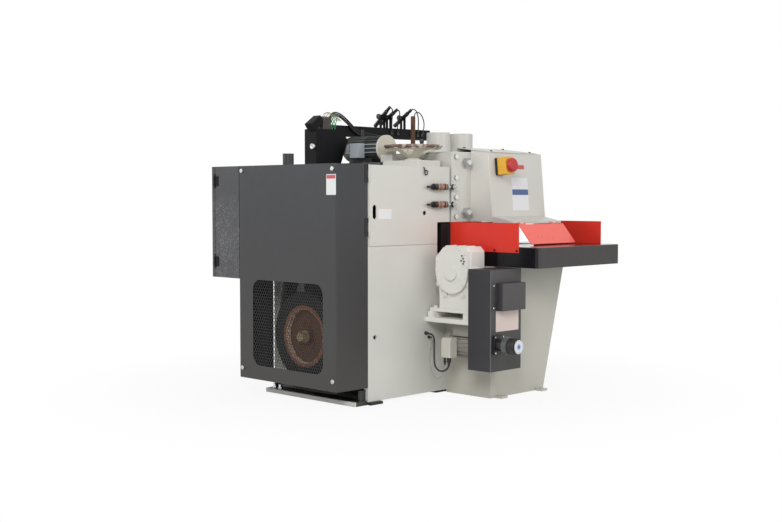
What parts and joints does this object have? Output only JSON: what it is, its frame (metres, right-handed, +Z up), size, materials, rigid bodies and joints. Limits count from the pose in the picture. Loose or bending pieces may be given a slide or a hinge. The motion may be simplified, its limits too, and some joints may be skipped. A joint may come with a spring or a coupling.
{
  "type": "multi-rip saw",
  "caption": "Floor-standing multi-rip saw that feeds boards on a chain under a row of saw blades, with outfeed table, hooded head, belt drive and reducer-driven feed.",
  "frame": {"origin": "on the floor, under the middle of the machine's overall box", "axes": "+X along the feed towards the outfeed table, +Y from the drive side to the open side, +Z up"},
  "size_m": [1.916, 1.574, 1.5873],
  "materials": {
    "light_paint": "satin",
    "casting_paint": "satin over a cast skin",
    "charcoal_paint": "satin",
    "black_paint": "satin",
    "black_gloss": "gloss",
    "red_paint": "satin",
    "cream_paint": "satin",
    "motor_paint": "satin",
    "feed_motor_paint": "satin",
    "bronze_paint": "satin",
    "brown_lacquer": "satin",
    "yellow_plastic": "matte",
    "red_plastic": "gloss",
    "black_plastic": "matte",
    "rubber": "matte",
    "cable_black": "matte",
    "cable_grey": "matte",
    "zinc": "zinc plated",
    "steel": "ground",
    "chrome": "polished",
    "black_steel": "black oxide",
    "grey_iron": "as cast",
    "rusty_iron": "rusted"
  },
  "bodies": {
    "frame": {"arbor_housing": "grey_iron", "base_rail": "light_paint", "body_cabinet": "light_paint", "canopy_shelf": "light_paint", "casting_bolts": "chrome", "cover_bolts": "chrome", "cover_mesh": "black_paint", "door_hinges": "black_steel", "door_keepers": "zinc", "drive_belts": "rubber", "dust_ports": "light_paint", "electrical_cabinet": "charcoal_paint", "end_cover": "charcoal_paint", "estop_box": "yellow_plastic", "feed_bed": "black_gloss", "feed_chain": "grey_iron", "feed_motor": "feed_motor_paint", "feed_motor_lead": "cable_black", "flap_hinges": "zinc", "gear_reducer": "casting_paint", "guard_walls": "red_paint", "hood_top_plate": "light_paint", "knob_flange": "black_paint", "laser_stand": "black_paint", "lift_gearbox": "casting_paint", "lift_motor": "motor_paint", "main_motor": "black_paint", "outfeed_table": "black_gloss", "panel_screws": "black_steel", "pedestal": "light_paint", "pulley_cover": "charcoal_paint", "reducer_shelf": "light_paint", "rubber_feet": "rubber", "saw_hood": "light_paint", "sensor_lead": "cable_grey", "terminal_box": "cream_paint", "upper_casting": "casting_paint", "variator_case": "charcoal_paint"},
    "access_door": {"access_door": "light_paint", "bolt_barrels": "brown_lacquer"},
    "upper_bolt": {"upper_spring_bolt": "zinc"},
    "lower_bolt": {"lower_spring_bolt": "zinc"},
    "cabinet_door": {"cabinet_door": "charcoal_paint"},
    "flap": {"red_flap": "red_paint"},
    "stop_button": {"estop_button": "red_plastic"},
    "speed_knob": {"speed_knob": "black_plastic"},
    "handwheel": {"lift_handwheel": "bronze_paint"},
    "pressure_frame": {"pressure_frame": "grey_iron", "lift_screw": "steel"},
    "front_roller": {"front_pressure_roller": "steel"},
    "rear_roller": {"rear_pressure_roller": "steel"},
    "fingers": {"kickback_fingers": "steel"},
    "motor_shaft": {"motor_pulley": "rusty_iron"},
    "arbor": {"saw_arbor": "steel", "arbor_pulley": "grey_iron", "saw_blades": "steel"},
    "sprocket": {"drive_sprocket": "steel"},
    "near_laser": {"near_laser": "black_plastic"},
    "middle_laser": {"middle_laser": "black_plastic"},
    "far_laser": {"far_laser": "black_plastic"}
  },
  "joints": [
    {"name": "access_door_swing", "type": "hinge", "parent": "frame", "child": "access_door", "pos_m": [0.363, -0.559, 1], "axis": [0, 0, -1], "range_deg": [0, 100]},
    {"name": "upper_bolt_pull", "type": "slide", "parent": "access_door", "child": "upper_bolt", "axis": [0, -1, 0], "range_m": [0, 0.02], "stiffness_N_per_m": 300, "springref_m": -0.01},
    {"name": "lower_bolt_pull", "type": "slide", "parent": "access_door", "child": "lower_bolt", "axis": [0, -1, 0], "range_m": [0, 0.02], "stiffness_N_per_m": 300, "springref_m": -0.01},
    {"name": "cabinet_door_swing", "type": "hinge", "parent": "frame", "child": "cabinet_door", "pos_m": [-0.62, -0.7805, 0.9], "axis": [0, 0, 1], "range_deg": [0, 110]},
    {"name": "flap_swing", "type": "hinge", "parent": "frame", "child": "flap", "pos_m": [0.659, 0.467, 0.914], "axis": [0, -1, 0], "range_deg": [0, 60]},
    {"name": "stop_button_press", "type": "slide", "parent": "frame", "child": "stop_button", "axis": [-0.9957, 0, -0.0924], "range_m": [0, 0.006], "stiffness_N_per_m": 1500},
    {"name": "speed_knob_turn", "type": "hinge", "parent": "frame", "child": "speed_knob", "pos_m": [0.888, -0.097, 0.308], "axis": [1, 0, 0], "range_deg": [0, 720]},
    {"name": "handwheel_turn", "type": "hinge", "parent": "frame", "child": "handwheel", "pos_m": [0.158, -0.024, 1.33], "axis": [0, 0, 1], "range_deg": [0, 3600]},
    {"name": "pressure_frame_lift", "type": "slide", "parent": "frame", "child": "pressure_frame", "axis": [0, 0, 1], "range_m": [0, 0.06]},
    {"name": "front_roller_spin", "type": "hinge", "parent": "pressure_frame", "child": "front_roller", "pos_m": [0.248, 0.437, 0.868], "axis": [0, 1, 0], "continuous": true},
    {"name": "rear_roller_spin", "type": "hinge", "parent": "pressure_frame", "child": "rear_roller", "pos_m": [-0.187, 0.437, 0.868], "axis": [0, 1, 0], "continuous": true},
    {"name": "finger_swing", "type": "hinge", "parent": "frame", "child": "fingers", "pos_m": [-0.332, 0.437, 0.94], "axis": [0, -1, 0], "range_deg": [0, 30]},
    {"name": "motor_spin", "type": "hinge", "parent": "frame", "child": "motor_shaft", "pos_m": [0.041, -0.658, 0.338], "axis": [0, 1, 0], "continuous": true},
    {"name": "arbor_spin", "type": "hinge", "parent": "frame", "child": "arbor", "pos_m": [0.028, -0.658, 0.965], "axis": [0, 1, 0], "continuous": true},
    {"name": "sprocket_spin", "type": "hinge", "parent": "frame", "child": "sprocket", "pos_m": [0.508, 0.337, 0.7], "axis": [0, 1, 0], "continuous": true},
    {"name": "near_laser_tilt", "type": "hinge", "parent": "frame", "child": "near_laser", "pos_m": [-0.332, 0.23, 1.527], "axis": [0, 1, 0], "range_deg": [-10, 20]},
    {"name": "middle_laser_tilt", "type": "hinge", "parent": "frame", "child": "middle_laser", "pos_m": [-0.332, 0.282, 1.527], "axis": [0, 1, 0], "range_deg": [-10, 20]},
    {"name": "far_laser_tilt", "type": "hinge", "parent": "frame", "child": "far_laser", "pos_m": [-0.332, 0.402, 1.527], "axis": [0, 1, 0], "range_deg": [-10, 20]}
  ],
  "couplings": [
    {"joint": "pressure_frame_lift", "follows": "handwheel_turn", "m_per_rad": 0.00095492},
    {"joint": "arbor_spin", "follows": "motor_spin", "ratio": 3.0134}
  ]
}
